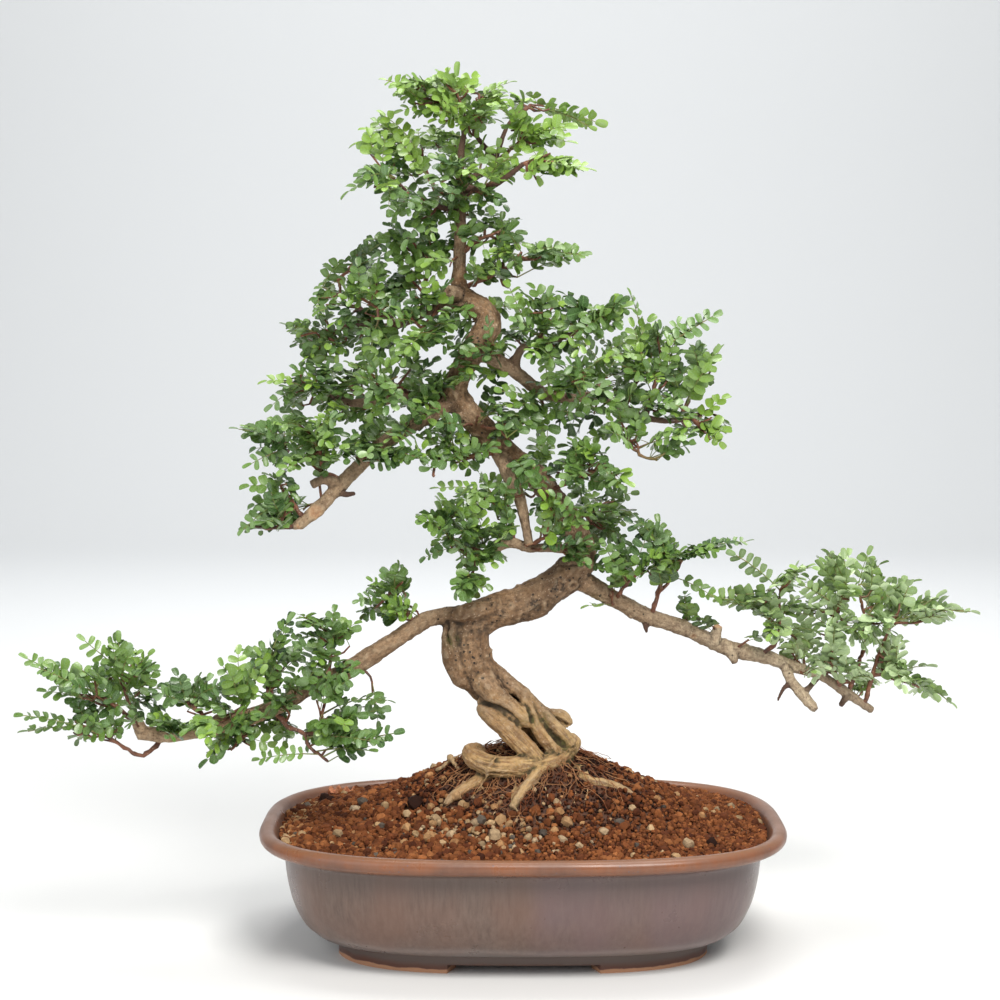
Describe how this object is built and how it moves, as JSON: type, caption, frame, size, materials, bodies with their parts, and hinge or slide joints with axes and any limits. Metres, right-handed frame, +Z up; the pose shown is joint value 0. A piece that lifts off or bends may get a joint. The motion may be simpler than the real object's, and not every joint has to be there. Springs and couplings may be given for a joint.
{
  "type": "chinese pepper bonsai",
  "caption": "Chinese pepper bonsai in informal upright style: a twisting trunk with exposed roots, long low limbs and small pinnate leaves, planted in an oval glazed pot.",
  "frame": {"origin": "middle of the whole object's bounding box seen from above, on the surface the pot's feet stand on", "axes": "+X to the viewer's right along the pot's long side, +Y to the back, +Z up; the front of the tree faces -Y"},
  "size_m": [0.7059, 0.282, 0.6372],
  "materials": {
    "glaze": "satin",
    "screen": "matte",
    "soil": "matte",
    "bark": "matte",
    "leaf_mature": "satin",
    "leaf_young": "satin"
  },
  "bodies": {
    "root": {"pot": "glaze", "drain_screen_left": "screen", "drain_screen_right": "screen", "soil": "soil", "wood": "bark", "twig_crown_top": "leaf_young", "twig_crown_high_right": "leaf_young", "twig_crown_far_right": "leaf_young", "twig_crown_right": "leaf_mature", "twig_crown_low_right": "leaf_mature", "twig_crown_low_left": "leaf_mature", "twig_crown_left": "leaf_young", "twig_crown_shoulder": "leaf_mature", "twig_crown_front": "leaf_mature", "twig_crown_back": "leaf_mature", "twig_upper_left_high": "leaf_mature", "twig_upper_left_tip": "leaf_mature", "twig_upper_left_end": "leaf_mature", "twig_upper_left_mid": "leaf_mature", "twig_upper_left_front": "leaf_mature", "twig_upper_left_back": "leaf_mature", "twig_left_high_end": "leaf_mature", "twig_left_high_front": "leaf_mature", "twig_left_high_back": "leaf_mature", "twig_left_low": "leaf_mature", "twig_left_tip": "leaf_mature", "twig_left_under": "leaf_mature", "twig_trunk_right": "leaf_mature", "twig_right_front_up": "leaf_mature", "twig_right_up": "leaf_mature", "twig_right_tall": "leaf_young", "twig_right_high": "leaf_mature", "twig_right_end_up": "leaf_young", "twig_right_end_low": "leaf_young", "twig_right_hanging": "leaf_mature", "twig_right_under": "leaf_mature", "twig_right_front": "leaf_mature", "twig_right_back": "leaf_mature", "twig_middle_right": "leaf_mature", "twig_middle_front": "leaf_mature", "twig_middle_back": "leaf_mature", "twig_middle_left": "leaf_mature", "twig_middle_left_up": "leaf_mature", "twig_right_fork": "leaf_mature", "twig_junction": "leaf_mature", "twig_far_right_first": "leaf_mature", "twig_far_right_second": "leaf_young", "twig_far_right_third": "leaf_young", "twig_far_right_fourth": "leaf_young", "twig_far_right_front": "leaf_mature", "twig_far_left_low": "leaf_mature", "twig_far_left_end": "leaf_mature", "twig_far_left_up": "leaf_mature", "twig_lower_left_third": "leaf_mature", "twig_lower_left_second": "leaf_mature", "twig_lower_left_first": "leaf_mature", "twig_lower_left_mid": "leaf_mature", "twig_lower_left_near": "leaf_mature", "twig_hanging": "leaf_mature", "twig_lower_left_under": "leaf_mature"}
  },
  "joints": []
}
